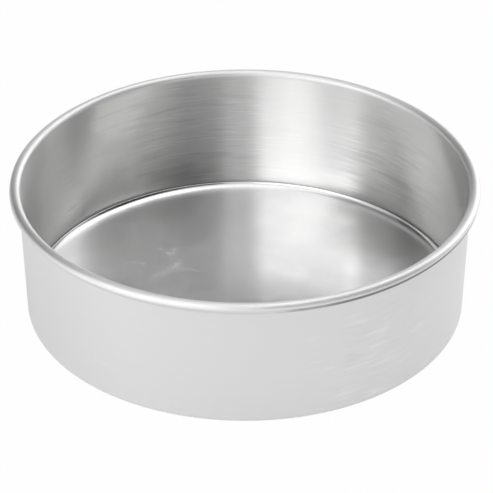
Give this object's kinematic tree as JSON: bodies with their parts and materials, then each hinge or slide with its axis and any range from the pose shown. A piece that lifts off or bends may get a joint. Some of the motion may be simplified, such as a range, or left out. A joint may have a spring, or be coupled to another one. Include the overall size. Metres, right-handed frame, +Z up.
{
  "type": "round cake tin",
  "caption": "Round aluminium cake tin with a near-upright wall, a rim curled round a wire, and a loose base plate with a turned-up edge that lies on an inner ledge and pushes up to free the cake.",
  "frame": {"origin": "centre of the tin's underside, on the surface that it stands on", "axes": "+Z up along the tin's axis; the tin is round, so +X and +Y are any two square directions"},
  "size_m": [0.2396, 0.2396, 0.0724],
  "materials": {
    "wall_sheet": "satin, with fine brush lines round the tin",
    "rim_wire": "drawn bright steel wire",
    "base_sheet": "bright mill finish with light scuffs"
  },
  "bodies": {
    "tin": {"tin_wall": "wall_sheet", "rim_wire": "rim_wire"},
    "base": {"loose_base": "base_sheet"}
  },
  "joints": [
    {"name": "base_lift", "type": "slide", "parent": "tin", "child": "base", "axis": [0, 0, 1], "range_m": [0, 0.085]}
  ]
}
